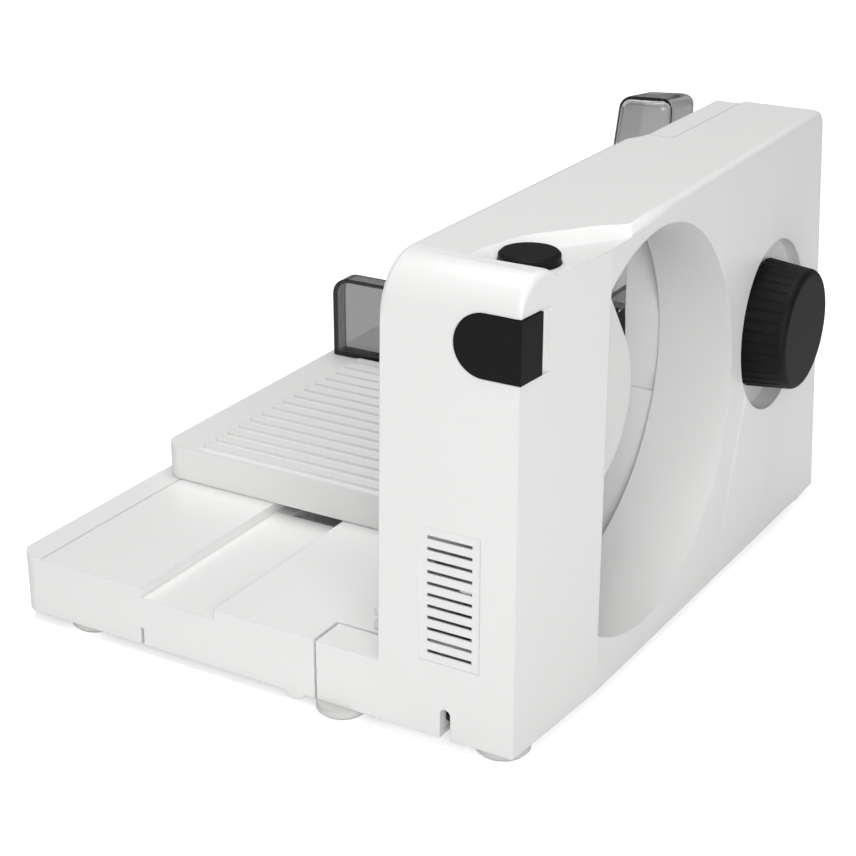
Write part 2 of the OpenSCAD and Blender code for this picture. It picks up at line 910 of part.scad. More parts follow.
// Gear case, deep round the knife's wheel and shallow round the wide idler and the motor
module case_deep(w) {
    hull() {
        translate([blade_x, blade_z]) circle(hub_r - w, $fn = chute_fn);
        translate([arm_x, arm_z]) circle(arm_r - w, $fn = chute_fn);
    }
    hull() {
        translate([blade_x, blade_z]) circle(hub_r - w);
        translate([idler_x, idler_z]) circle(idler_deep_r - w);
    }
}
module case_wide(w, pinion_room_r) {
    translate([idler_x, idler_z]) circle(idler_wide_r - w, $fn = chute_fn);
    translate([motor_x, motor_z]) circle(pinion_room_r);
}
module lug_arms() {
    for (a = [[idler_x, idler_z, lug_reach, lug_dirs[0]], [idler_x, idler_z, lug_reach, lug_dirs[1]],
              [motor_x, motor_z, motor_lug_reach, lug_dirs[2]]])
        translate([a[0], a[1]])
            rotate(a[3]) {
                translate([a[2] / 2, -case_lug_r]) square([a[2] / 2, 2 * case_lug_r]);
                translate([a[2], 0]) circle(case_lug_r);
            }
}
module lug_holes() {
    for (p = case_lugs)
        rod_y(p[0], p[1], screw_shank_r + seat_gap, case_step_y, lid_y + over);
}

module gear_case() {
    color("white")
        seated()
            difference() {
                union() {
                    difference() {
                        union() {
                            along_y(case_back_y, case_front_y) case_deep(0);
                            along_y(case_step_y, case_front_y) case_wide(0, motor_lug_r);
                        }
                        along_y(case_back_y + case_wall, case_front_y + over) case_deep(case_wall);
                        along_y(case_step_y + case_step_t, case_front_y + over)
                            case_wide(case_wall, pinion_pocket_r);
                    }
                    difference() {
                        along_y(case_front_y - case_lug_t, case_front_y) lug_arms();
                        along_y(case_step_y, case_front_y + over) {
                            case_deep(case_wall);
                            case_wide(case_wall, pinion_pocket_r);
                        }
                    }
                    rod_y(blade_x, blade_z, case_boss_r, case_back_y, deep_y - gap);
                    rod_y(idler_x, idler_z, idler_boss_r, case_back_y, deep_y - gap);
                }
                rod_y(blade_x, blade_z, blade_axle_r + seat_gap, case_back_y + gap, case_front_y);
                rod_y(idler_x, idler_z, idler_axle_r + seat_gap, case_back_y + gap, case_front_y);
                rod_y(motor_x, motor_z, shaft_r + gap, case_step_y - over, case_front_y);
                lug_holes();
            }
}

module gear_case_lid() {
    color("white")
        seated()
            difference() {
                along_y(case_front_y, lid_y) {
                    case_deep(0);
                    case_wide(0, motor_lug_r);
                    lug_arms();
                }
                rod_y(blade_x, blade_z, lid_hole_r, case_front_y - over, lid_y + over);
                rod_y(idler_x, idler_z, idler_axle_r + seat_gap, case_front_y - over, lid_y + over);
                lug_holes();
            }
}

// Turned shapes on axes that run across the slab
module lathe_y(x, z) {
    translate([x, 0, z])
        rotate([-quarter, 0, 0])
            rotate_extrude($fn = chute_fn)
                children();
}

module blade() {
    front_y = blade_back_y + blade_t;
    color("silver")
        seated()
            difference() {
                lathe_y(blade_x, blade_z)
                    polygon([
                        [blade_bore_r, blade_back_y], [blade_flange_r, blade_back_y],
                        [blade_body_r, blade_plane - blade_t], [blade_r, blade_plane - blade_edge_t],
                        [blade_r, blade_plane], [blade_body_r, blade_plane],
                        [blade_flange_r, front_y], [blade_bore_r, front_y]
                    ]);
                for (i = [0:wave_count - 1])
                    let (a = turn * i / wave_count, r = blade_r + wave_r - wave_depth)
                        rod_y(blade_x + r * cos(a), blade_z + r * sin(a), wave_r,
                            blade_plane - blade_t - over, blade_plane + over, $fn = 24);
            }
}

module blade_gear() {
    flange_y = blade_back_y - carrier_t;
    color("dimgray")
        seated()
            difference() {
                union() {
                    gear(blade_x, blade_z, blade_teeth, idler_dir + turn / 2 / blade_teeth, deep_y, deep_w);
                    rod_y(blade_x, blade_z, sleeve_r, deep_y, flange_y);
                    rod_y(blade_x, blade_z, carrier_r, flange_y, blade_back_y, $fn = chute_fn);
                    rod_y(blade_x, blade_z, blade_bore_r - seat_gap, flange_y, blade_back_y + spigot_len);
                }
                rod_y(blade_x, blade_z, blade_axle_r + run_fit, deep_y - over, case_front_y + gap);
                rod_y(blade_x, blade_z, stud_r + seat_gap, case_front_y, blade_plane);
                gear_web();
            }
}
gear_web_t = 3;
gear_rim_w = 6;
module gear_web() {
    rim_r = gear_m * blade_teeth / 2 - gear_rim_w;
    difference() {
        rod_y(blade_x, blade_z, rim_r, deep_y + gear_web_t, deep_y + deep_w + over, $fn = chute_fn);
        rod_y(blade_x, blade_z, sleeve_r + wall, deep_y, deep_y + deep_w + 2 * over);
    }
}

module blade_axle() {
    color("silver")
        seated()
            rod_y(blade_x, blade_z, blade_axle_r, case_back_y + gap, case_front_y);
}

module blade_screw() {
    y0 = blade_back_y + blade_t;
    color("dimgray")
        seated()
            difference() {
                union() {
                    lathe_y(blade_x, blade_z)
                        polygon([
                            [0, y0], [cap_r, y0], [cap_r, y0 + cap_t - over],
                            [cap_r - over, y0 + cap_t], [0, y0 + cap_t]
                        ]);
                    rod_y(blade_x, blade_z, stud_r, y0 - stud_len, y0);
                }
                for (side = [-1, 1])
                    translate([blade_x - cap_r - over, y0 + cap_t / 2, blade_z + side * cap_r / 2 - cap_grip_w / 2
                        + side * cap_grip_w / 4])
                        cube([2 * cap_r + 2 * over, cap_t, cap_grip_w]);
            }
}

module idler_gear() {
    color("white")
        seated()
            difference() {
                union() {
                    gear(idler_x, idler_z, idler_small_teeth, idler_dir + turn / 2, deep_y, deep_w);
                    gear(idler_x, idler_z, idler_big_teeth, motor_dir, shallow_y, shallow_w);
                    rod_y(idler_x, idler_z, sleeve_r, deep_y, shallow_y + shallow_w);
                }
                rod_y(idler_x, idler_z, idler_axle_r + run_fit, deep_y - over, shallow_y + shallow_w + over);
                for (i = [0:5])
                    let (a = turn * i / 6, r = gear_m * idler_big_teeth / 4 + over)
                        rod_y(idler_x + r * cos(a), idler_z + r * sin(a), idler_boss_r,
                            shallow_y - over, shallow_y + shallow_w + over);
            }
}

module idler_axle() {
    color("silver")
        seated()
            rod_y(idler_x, idler_z, idler_axle_r, case_back_y + gap, lid_y);
}

module motor_pinion() {
    color("silver")
        seated()
            difference() {
                gear(motor_x, motor_z, pinion_teeth, motor_dir + turn / 2 + turn / 2 / pinion_teeth,
                    shallow_y, shallow_w + seat_gap * 2);
                rod_y(motor_x, motor_z, shaft_r + seat_gap, case_step_y, lid_y);
            }
}

module motor_shaft() {
    color("silver")
        seated() {
            rod_y(motor_x, motor_z, shaft_r, shaft_y, shaft_end_y);
            difference() {
                rod_y(motor_x, motor_z, core_r, core_y, core_y + core_len);
                for (i = [0:core_slots - 1])
                    translate([motor_x, 0, motor_z])
                        rotate([0, turn * i / core_slots, 0])
                            block(core_r - core_slot_d, core_r + over, core_y - over, core_y + core_len + over,
                                -core_slot_w / 2, core_slot_w / 2);
            }
        }
}

module cooling_fan() {
    color("dimgray")
        seated()
            difference() {
                union() {
                    rod_y(motor_x, motor_z, fan_hub_r, fan_y, fan_y + fan_t);
                    rod_y(motor_x, motor_z, fan_r, fan_y + fan_t - fan_blade_t, fan_y + fan_t);
                    for (i = [0:fan_count - 1])
                        translate([motor_x, 0, motor_z])
                            rotate([0, turn * i / fan_count, 0])
                                block(fan_hub_r - over, fan_r - fan_blade_t, fan_y, fan_y + fan_t - fan_blade_t / 2,
                                    -fan_blade_t / 2, fan_blade_t / 2);
                }
                rod_y(motor_x, motor_z, shaft_r + seat_gap, fan_y - over, fan_y + fan_t + over);
            }
}

module motor_can() {
    color("silver")
        seated()
            difference() {
                rod_y(motor_x, motor_z, can_r, can_y, can_end_y);
                rod_y(motor_x, motor_z, can_r - can_wall, can_y + can_wall, can_end_y + over);
                rod_y(motor_x, motor_z, shaft_r + run_fit, can_y - over, can_y + can_wall + over);
                for (i = [0:3])
                    translate([motor_x, 0, motor_z])
                        rotate([0, quarter * (i + 1 / 2), 0])
                            block(can_r / 2, can_r * 3 / 4, can_y - over, can_y + can_wall + over,
                                -core_slot_w, core_slot_w);
            }
}

module motor_end_plate() {
    color("silver")
        seated()
            difference() {
                union() {
                    rod_y(motor_x, motor_z, end_plate_r, can_end_y, case_step_y);
                    rod_y(motor_x, motor_z, bearing_r, can_end_y - bearing_t, can_end_y);
                }
                rod_y(motor_x, motor_z, shaft_r + run_fit, can_end_y - bearing_t - over, case_step_y + over);
            }
}

module circuit_board() {
    color("green")
        seated() {
            block(board_x, board_x + board_len, board_y, board_y + board_t, board_z, board_z + board_h);
            block(board_x + chip_w, board_x + 2 * chip_w, board_y + board_t, board_y + board_t + chip_t,
                board_z + chip_w, board_z + 2 * chip_w);
            for (i = [0:1])
                rod_y(board_x + board_len - chip_w, board_z + chip_w * (1 + i * 3 / 2), chip_w * 2 / 5,
                    board_y + board_t, board_y + board_t + 2 * chip_t);
        }
}

module micro_switch() {
    color("dimgray")
        seated() {
            block(switch_x, switch_x + switch_w, switch_y, switch_y + switch_t,
                switch_top_z - switch_h, switch_top_z);
            translate([stem_x, start_y, switch_top_z])
                cylinder(r = switch_tip_r, h = switch_tip_h);
        }
}

module start_button() {
    top = slab_h - scoop_depth + start_proud;
    r = start_d / 2;
    color("dimgray")
        seated() {
            translate([start_x, start_y, 0])
                rotate_extrude()
                    polygon([
                        [0, start_low_z], [r + start_flange, start_low_z],
                        [r + start_flange, start_low_z + start_flange_t], [r, start_low_z + start_flange_t],
                        [r, top - over], [r - over, top], [r * 3 / 4, top - start_dish / 4], [0, top - start_dish]
                    ]);
            translate([stem_x, start_y, start_low_z - stem_len])
                cylinder(r = stem_r, h = stem_len + over);
        }
}

module start_spring() {
    color("silver")
        seated()
            translate([stem_x, start_y, switch_top_z])
                difference() {
                    cylinder(r = spring_r, h = start_low_z - switch_top_z - seat_gap);
                    translate([0, 0, -over])
                        cylinder(r = spring_r - spring_wall, h = start_low_z - switch_top_z + 2 * over);
                }
}

module lock_button() {
    color("dimgray")
        seated()
            difference() {
                intersection() {
                    along_x(-lock_proud, lock_x)
                        lock_outline(0);
                    lock_plan(0, lock_x);
                }
                translate([lock_x - lock_spring_in, lock_spring_y, lock_z + lock_h / 2])
                    rotate([0, quarter, 0])
                        cylinder(r = lock_spring_r + seat_gap, h = lock_spring_in + over);
            }
}

lock_spring_r = 3;
lock_spring_in = 6;
lock_spring_y = lock_y - lock_tail_h / 2 - over;
module lock_spring() {
    color("silver")
        seated()
            translate([lock_x - lock_spring_in, lock_spring_y, lock_z + lock_h / 2])
                rotate([0, quarter, 0])
                    difference() {
                        cylinder(r = lock_spring_r,
                            h = lock_slot_x + lock_tail - lock_stroke - gap - lock_x + lock_spring_in);
                        translate([0, 0, -over])
                            cylinder(r = lock_spring_r - spring_wall, h = 2 * lock_slot_x);
                    }
}

// Setting knob, its spindle and the stop plate that it moves
module setting_knob() {
    back_y = knob_floor_y - knob_gap;
    depth = back_y - knob_front_y;
    lean = atan((knob_r - knob_front_r) / depth);
    color("dimgray")
        seated()
            difference() {
                lathe_y(knob_x, knob_z)
                    polygon(concat(
                        [[0, knob_front_y]],
                        [for (i = [0:corner_steps]) let (a = quarter * i / corner_steps)
                            [knob_front_r - knob_round * (1 - sin(a)), knob_front_y + knob_round * (1 - cos(a))]],
                        [[knob_r, back_y], [0, back_y]]));
                rod_y(knob_x, knob_z, spindle_r + seat_gap, knob_bore_y, back_y + over);
                for (i = [0:knob_ribs - 1])
                    translate([knob_x, back_y, knob_z])
                        rotate([quarter, 0, 0])
                            rotate([0, 0, turn * i / knob_ribs])
                                translate([knob_r + knob_rib_r - knob_rib_sink, 0, -over])
                                    rotate([0, -lean, 0])
                                        cylinder(r = knob_rib_r, h = depth - knob_round, $fn = 16);
            }
}

module knob_spindle() {
    collar_y = knob_floor_y + rod_seat + gap;
    color("silver")
        seated() {
            rod_y(knob_x, knob_z, spindle_r, knob_bore_y, spindle_end_y);
            rod_y(knob_x, knob_z, spindle_collar_r, collar_y, collar_y + spindle_collar_t);
        }
}

module stop_outline(w) {
    difference() {
        translate([stop_x + w, stop_low_z + w])
            square([stop_end_x - stop_x - 2 * w, slab_h - stop_top_drop - stop_low_z - 2 * w]);
        translate([0, stop_corner_z - w])
            square([step_x + w + gap * 2, slab_h]);
        translate([blade_x, blade_z])
            circle(stop_arc_r + w, $fn = chute_fn);
    }
}

module stop_plate() {
    panel_y = stop_back_y - stop_t;
    cut = stop_skirt_arc_r + blade_x;
    color("white")
        seated()
            difference() {
                union() {
                    along_y(panel_y, stop_back_y)
                        stop_outline(0);
                    difference() {
                        along_y(stop_skirt_y, stop_back_y)
                            stop_outline(0);
                        along_y(stop_skirt_y - over, stop_back_y + over)
                            stop_outline(stop_skirt_t);
                        block(stop_x - over, cut, stop_skirt_y - over, stop_skirt_short_y, 0, slab_h);
                    }
                    block(step_x + 2 * gap, stop_end_x, rear_y + gap, stop_back_y, slab_h - stop_top_drop - over, slab_h);
                    rod_y(knob_x, knob_z, nut_r, nut_y, panel_y);
                    for (p = [[rod_high_x, rod_high_z], [rod_low_x, rod_low_z]])
                        rod_y(p[0], p[1], rod_boss_r, stop_skirt_y, panel_y);
                }
                rod_y(knob_x, knob_z, spindle_r + run_fit, nut_y - over, panel_y);
                for (p = [[rod_high_x, rod_high_z], [rod_low_x, rod_low_z]])
                    rod_y(p[0], p[1], rod_r + run_fit, stop_skirt_y - over, panel_y);
            }
}

module guide_rods() {
    color("silver")
        seated()
            for (p = [[rod_high_x, rod_high_z], [rod_low_x, rod_low_z]])
                rod_y(p[0], p[1], rod_r, seat_gap, rod_end_y);
}

// Folding table with its tongue between the ears
module table_plan(w) {
    difference() {
        hull() {
            translate([table_round, table_reach - table_round]) circle(table_round - w);
            translate([table_len - table_round, table_reach - table_round]) circle(table_round - w);
            translate([w, table_y + w]) square([table_len - 2 * w, table_round]);
        }
    }
}

module folding_table() {
    tongue_x = ear_len + ear_gap;
    tongue_end = table_len - ear_len - ear_gap;
    low = table_h - deck_t;
    lane_z = table_h - lane_drop;
    pocket_z = table_h - pocket_drop;
    color("white")
        seated()
            difference() {
                union() {
                    difference() {
                        linear_extrude(table_h)
                            table_plan(0);
                        translate([0, 0, -over])
                            linear_extrude(low + over)
                                table_plan(table_wall);
                    }
                    block(tongue_x, tongue_end, tongue_y, table_y + table_wall, low, table_h);
                    for (x = [tongue_x, tongue_end - hinge_knuckle_len])
                        translate([x, hinge_y, hinge_z])
                            rotate([0, quarter, 0])
                                cylinder(r = hinge_knuckle_r, h = hinge_knuckle_len);
                    block(table_wall, table_len - table_wall, lane_step_y - table_wall, lane_y + table_wall,
                        lane_z - deck_t, low + over);
                    block(pocket_x - table_wall, table_len - pocket_end + table_wall, pocket_y - table_wall,
                        pocket_end_y + table_wall, pocket_z - deck_t, low + over);
                    for (i = [1:deck_rib_count])
                        let (x = table_len * i / (deck_rib_count + 1))
                            block(x, x + deck_rib_t, table_y + over, table_reach - over, low - deck_rib_h, low + over);
                    for (x = [foot_x, table_len - foot_x])
                        translate([x, foot_table_y, 0])
                            cylinder(r = foot_plug_r + wall, h = low + over);
                    along_x(0, table_wall)
                        translate([nub_y, nub_r - nub_drop])
                            circle(nub_r, $fn = 32);
                }
                block(-over, table_len - pocket_end, lane_step_y, lane_y, lane_z, table_h + over);
                block(pocket_x, table_len - pocket_end, pocket_y, pocket_end_y, pocket_z, table_h + over);
                block(-over, table_len + over, groove_y, groove_y + groove_w, table_h - groove_d, table_h + over);
                block(-over, table_wall + over, notch_y, notch_y + notch_w, -over, notch_h);
                foot_holes([[foot_x, foot_table_y], [table_len - foot_x, foot_table_y]]);
                for (x = [tongue_x - over, tongue_end - hinge_pin_len / 2])
                    translate([x, hinge_y, hinge_z])
                        rotate([0, quarter, 0])
                            cylinder(r = hinge_pin_r + run_fit, h = hinge_pin_len / 2 + over, $fn = 32);
            }
}

module hinge_pins() {
    color("silver")
        seated()
            for (x = [ear_len - hinge_pin_len / 2, slab_len - ear_len - hinge_pin_len / 2])
                translate([x, hinge_y, hinge_z])
                    rotate([0, quarter, 0])
                        cylinder(r = hinge_pin_r, h = hinge_pin_len, $fn = 32);
}

module foot(x, y) {
    translate([x, y, -foot_h])
        rotate_extrude()
            polygon([
                [0, 0], [foot_r - foot_round, 0], [foot_r, foot_round], [foot_r, foot_h - seat_gap],
                [foot_plug_r - seat_gap, foot_h - seat_gap], [foot_plug_r - seat_gap, foot_h + foot_plug_h - seat_gap],
                [0, foot_h + foot_plug_h - seat_gap]
            ]);
}

module base_feet() {
    color("gray")
        seated() {
            foot(foot_x, foot_slab_y);
            foot(foot_ear_x, foot_ear_y);
            foot(slab_len - foot_far, foot_far_y);
            foot(slab_len - foot_far, foot_ear_y);
        }
}

module table_feet() {
    color("gray")
        seated() {
            foot(foot_x, foot_table_y);
            foot(table_len - foot_x, foot_table_y);
        }
}

// Carriage that carries the food past the knife
module rail_section(w) {
    r = rail_w / 2;
    z = table_h + gap;
    third = rail_h / 3;
    translate([rail_y - r - w, z - 2 * w]) square([rail_w + 2 * w, third + 3 * w]);
    translate([rail_y - r + rail_groove - w, z]) square([rail_w - 2 * rail_groove + 2 * w, rail_h]);
    translate([rail_y - r - w, z + 2 * third - w]) square([rail_w + 2 * w, third + 2 * w]);
}

module carriage_rail() {
    color("white")
        seated()
            along_x(rail_x, rail_x + rail_len)
                rail_section(0);
}

module tray_plan(w) {
    inner_r = tray_round / 3;
    hull() {
        for (x = [carriage_x + tray_round, carriage_end_x - tray_round])
            translate([x, carriage_outer_y - tray_round]) circle(tray_round - w);
        for (x = [carriage_x + inner_r, carriage_end_x - inner_r])
            translate([x, carriage_y + inner_r]) circle(inner_r - w, $fn = 32);
    }
}

module carriage_tray() {
    channel = rail_w / 2 + gap + tray_wall;
    first = carriage_x + rib_inset_x - rib_w / 2;
    rib_end = carriage_outer_y - rib_inset_y;
    color("white")
        seated()
            difference() {
                union() {
                    difference() {
                        translate([0, 0, tray_z]) linear_extrude(tray_h) tray_plan(0);
                        translate([0, 0, tray_z - over]) linear_extrude(tray_h - tray_t + over) tray_plan(tray_wall);
                    }
                    block(carriage_x + tray_wall, carriage_end_x - tray_wall, rail_y - channel, rail_y + channel,
                        tray_z, tray_top - tray_t);
                    for (i = [1:3])
                        block(carriage_x + tray_wall, carriage_end_x - tray_wall,
                            rail_y + i * carriage_w / 4, rail_y + i * carriage_w / 4 + deck_rib_t,
                            tray_top - 2 * tray_t, tray_top - tray_t);
                    for (i = [0:rib_count - 1])
                        translate([first + i * rib_pitch, 0, tray_top]) {
                            block(0, rib_w, carriage_y + 2 * over, rib_end, -over, rib_h);
                            translate([rib_w / 2, rib_end, -over]) cylinder(d = rib_w, h = rib_h + over, $fn = 32);
                        }
                }
                along_x(carriage_x - over, carriage_end_x + over)
                    rail_section(gap);
            }
}

module guard_outline(w) {
    round_rect(guard_inner_y + w, guard_outer_y - w, tray_top - 2 * guard_round, tray_top + guard_h - w,
        guard_round - w);
}

module hand_guard() {
    color("gray", 0.5)
        seated() {
            intersection() {
                difference() {
                    along_x(guard_x, guard_x + guard_rim + guard_t) guard_outline(0);
                    along_x(guard_x + guard_t, guard_x + 2 * guard_rim) guard_outline(guard_t);
                }
                block(0, slab_len, 0, table_reach, tray_top, holder_h);
            }
            block(guard_x + over, guard_x + guard_rim + guard_t, guard_inner_y, guard_outer_y,
                tray_top, tray_top + guard_t);
        }
}

// Smoked tower that pushes the food, with its bridge over the guard
module holder_tower(w, z0, z1) {
    r = holder_round - w;
    hull() {
        for (x = [holder_x + holder_round, holder_end_x - holder_round])
            for (y = [holder_y + holder_round, holder_y + holder_w - holder_round])
                translate([x, y, z0]) cylinder(r = r, h = gap, $fn = 32);
        for (i = [0:1])
            for (k = [0:1])
                translate([
                    i == 0 ? holder_top_x + holder_round : holder_top_end_x - holder_round,
                    k == 0 ? holder_y + holder_round : holder_y + holder_top_w - holder_round,
                    z1 - gap - i * holder_fall_x - k * holder_fall_y
                ])
                    cylinder(r = r, h = gap, $fn = 32);
    }
}

bridge_gap = 2.7;
press_y = holder_y + press_lift;
module food_holder() {
    z0 = tray_top + gap;
    bridge_z = tray_top + guard_h + bridge_gap;
    back_y = press_y + press_t;
    color("gray", 0.5)
        seated() {
            difference() {
                holder_tower(0, z0, tray_top + holder_h);
                holder_tower(holder_wall, z0 - over, tray_top + holder_h - holder_wall);
            }
            difference() {
                block(bridge_x, holder_x + holder_wall, back_y, back_y + bridge_w, bridge_z, bridge_z + bridge_t);
                holder_tower(holder_wall / 2, z0 - over, tray_top + holder_h - holder_wall);
            }
            block(bridge_x, press_x + press_w, back_y, back_y + press_t, bridge_z - 2 * press_t,
                bridge_z + bridge_t + 4 * press_t);
        }
}

module holder_plate() {
    z0 = tray_top + rib_h + press_lift;
    color("gray", 0.5)
        seated() {
            block(press_x, press_x + press_w, press_y, press_y + press_t, z0, z0 + press_h);
            for (i = [0:spike_cols - 1])
                for (k = [0:spike_rows - 1])
                    translate([press_x + press_w * (i + 1 / 2) / spike_cols, press_y,
                               z0 + press_h * (k + 1 / 2) / spike_rows])
                        rotate([quarter, 0, 0])
                            cylinder(r1 = spike_r, r2 = spike_r / 4, h = press_lift - gap, $fn = 16);
        }
}

module screw(p, y) {
    rod_y(p[0], p[1], screw_head_r, y - screw_head_t, y);
    rod_y(p[0], p[1], screw_shank_r, y - screw_head_t - screw_len, y - screw_head_t);
}

module cover_screws() {
    color("silver")
        seated()
            for (p = cover_posts)
                screw(p, side_y(p[1]));
}

module case_screws() {
    color("silver")
        seated()
            for (p = case_lugs)
                screw(p, lid_y + screw_head_t);
}

housing_shell();
chute_liner();
hinge_ears();
blade_side_cover();
bottom_cover();
cord_bush();
gear_case();
gear_case_lid();
blade();
blade_gear();
blade_axle();
blade_screw();
idler_gear();
idler_axle();
motor_pinion();
motor_shaft();
cooling_fan();
motor_can();
motor_end_plate();
circuit_board();
micro_switch();
start_button();
start_spring();
lock_button();
lock_spring();
setting_knob();
knob_spindle();
stop_plate();
guide_rods();
folding_table();
hinge_pins();
base_feet();
table_feet();
carriage_rail();
carriage_tray();
hand_guard();
food_holder();
holder_plate();
cover_screws();
case_screws();
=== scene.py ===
# %% [markdown]
# # A folding food slicer, dressed for its portrait
# The solid model of the slicer arrives as a fixed frame, with every part in place and in metres.
# This lesson gives it finishes, adds the few pieces that a solid model leaves plain, lights it
# and sets the camera.

# %% Load the frame
import bpy
import json
import math
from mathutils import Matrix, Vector


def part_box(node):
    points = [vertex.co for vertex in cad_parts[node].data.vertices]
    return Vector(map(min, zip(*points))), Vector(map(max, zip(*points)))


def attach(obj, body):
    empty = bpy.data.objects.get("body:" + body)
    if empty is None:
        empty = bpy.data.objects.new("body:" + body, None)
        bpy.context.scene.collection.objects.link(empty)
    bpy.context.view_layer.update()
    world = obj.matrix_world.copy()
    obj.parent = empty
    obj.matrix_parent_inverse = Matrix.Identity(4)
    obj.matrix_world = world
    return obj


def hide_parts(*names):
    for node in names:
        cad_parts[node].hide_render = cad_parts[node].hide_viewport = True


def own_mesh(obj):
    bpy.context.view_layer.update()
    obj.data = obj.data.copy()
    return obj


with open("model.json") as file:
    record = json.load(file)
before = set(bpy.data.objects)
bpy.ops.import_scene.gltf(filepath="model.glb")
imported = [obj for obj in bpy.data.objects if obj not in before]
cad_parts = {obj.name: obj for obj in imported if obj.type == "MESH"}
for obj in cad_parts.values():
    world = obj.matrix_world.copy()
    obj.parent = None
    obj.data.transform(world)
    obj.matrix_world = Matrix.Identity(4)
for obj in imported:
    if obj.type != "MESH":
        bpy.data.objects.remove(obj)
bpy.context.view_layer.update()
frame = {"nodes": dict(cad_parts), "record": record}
nodes = frame["nodes"]

# %% [markdown]
# The real machine was measured from the front left corner of its slab, in millimetres. One
# function turns such a place into this scene's metres, so that the numbers below can be checked
# with a ruler. A name with MM in it holds millimetres, and every other length is in metres.

# %% A place on the machine, from millimetres
MM_PER_M = 1000
ORIGIN_MM = (149.0, 112.5, -4.5)


def place(along, across, up):
    steps = zip((along, across, up), ORIGIN_MM)
    return Vector([(value - start) / MM_PER_M for value, start in steps])


print("foot of the corner:", place(0, 0, 0))

# %% [markdown]
# Colours are picked from swatches as sRGB hex values. Blender computes with linear light, so one
# function converts them. A second function adds a shader node with its settings and its links in
# one line, which keeps the recipes short.

# %% Colour and shader helpers


def linear(hex_colour):
    parts = [int(hex_colour[i:i + 2], 16) / 255 for i in (1, 3, 5)]
    return [p / 12.92 if p <= 0.04045 else ((p + 0.055) / 1.055) ** 2.4 for p in parts] + [1.0]


def add(tree, kind, links=None, sockets=None, **settings):
    node = tree.nodes.new(kind)
    for key, value in settings.items():
        setattr(node, key, value)
    for key, value in (sockets or {}).items():
        node.inputs[key].default_value = value
    for key, output in (links or {}).items():
        tree.links.new(output, node.inputs[key])
    return node


def new_material(name):
    material = bpy.data.materials.new(name)
    material.use_nodes = True
    material.node_tree.nodes.clear()
    return material, material.node_tree


def finish_material(tree, shader):
    add(tree, "ShaderNodeOutputMaterial", {"Surface": shader.outputs[0]})


print("middle grey in linear light:", round(linear("#808080")[0], 3))

# %% [markdown]
# Most of the machine is ABS, injection moulded against polished steel. It is a dense white
# plastic with a soft gloss. No moulding has a razor-sharp corner, so a Bevel node rounds every
# edge for the light alone. A faint, slow waviness (the sink) stands for the way a large flat
# wall sinks a little as it cools, and a fine grain makes the gloss vary by a tenth.

# %% Moulded white ABS
SINK_DEPTH = 0.001
GRAIN_DEPTH = 0.0002
GRAIN_GLOSS = (0.9, 1.1)


def moulded_plastic(name, colour, roughness, ior, edge_mm, sink_mm, sink, grain_mm, grain):
    material, tree = new_material(name)
    coords = add(tree, "ShaderNodeTexCoord")
    sink_noise = add(tree, "ShaderNodeTexNoise", {"Vector": coords.outputs["Object"]},
                     {"Scale": MM_PER_M / sink_mm, "Detail": 1.0})
    grain_noise = add(tree, "ShaderNodeTexNoise", {"Vector": coords.outputs["Object"]},
                      {"Scale": MM_PER_M / grain_mm, "Detail": 2.0})
    edge = add(tree, "ShaderNodeBevel", sockets={"Radius": edge_mm / MM_PER_M}, samples=6)
    sink_bump = add(tree, "ShaderNodeBump",
                    {"Height": sink_noise.outputs["Fac"], "Normal": edge.outputs[0]},
                    {"Strength": sink, "Distance": SINK_DEPTH})
    grain_bump = add(tree, "ShaderNodeBump",
                     {"Height": grain_noise.outputs["Fac"], "Normal": sink_bump.outputs[0]},
                     {"Strength": grain, "Distance": GRAIN_DEPTH})
    rough = add(tree, "ShaderNodeMapRange", {"Value": grain_noise.outputs["Fac"]},
                {"To Min": roughness * GRAIN_GLOSS[0], "To Max": roughness * GRAIN_GLOSS[1]})
    shader = add(tree, "ShaderNodeBsdfPrincipled",
                 {"Roughness": rough.outputs[0], "Normal": grain_bump.outputs[0]},
                 {"Base Color": linear(colour), "IOR": ior})
    finish_material(tree, shader)
    return material


white_abs = moulded_plastic(
    "white_abs_moulded", "#EDEDEC", roughness=0.32, ior=1.53, edge_mm=0.5,
    sink_mm=60, sink=0.05, grain_mm=0.8, grain=0.05)
print("made", white_abs.name)

# %% [markdown]
# The knob and the two buttons are ABS too, coloured black in the granules. Their moulds were
# spark eroded, which leaves a fine even grain. It scatters the light and breaks up much of the
# gloss, so they look matt. An index of refraction well below that of ABS stands for the lost
# gloss.

# %% Spark-eroded black ABS
black_abs = moulded_plastic(
    "black_abs_spark_eroded", "#0D0D0E", roughness=0.58, ior=1.3, edge_mm=0.5,
    sink_mm=40, sink=0.02, grain_mm=0.5, grain=0.5)
print("made", black_abs.name)

# %% [markdown]
# Gears are moulded in acetal, a waxy plastic that is natural white and slips well. The feet are
# pale grey rubber, soft and dull, and the grommet in the cord slot is black rubber.

# %% Acetal and rubber
white_acetal = moulded_plastic(
    "white_acetal_natural", "#E4E2DA", roughness=0.42, ior=1.48, edge_mm=0.2,
    sink_mm=30, sink=0.02, grain_mm=0.6, grain=0.08)
grey_rubber = moulded_plastic(
    "grey_rubber_feet", "#D2D2D0", roughness=0.6, ior=1.5, edge_mm=0.8,
    sink_mm=30, sink=0.02, grain_mm=0.5, grain=0.6)
black_rubber = moulded_plastic(
    "black_rubber_grommet", "#191919", roughness=0.75, ior=1.5, edge_mm=0.4,
    sink_mm=30, sink=0.02, grain_mm=0.5, grain=0.6)
print("made", white_acetal.name, grey_rubber.name, black_rubber.name)

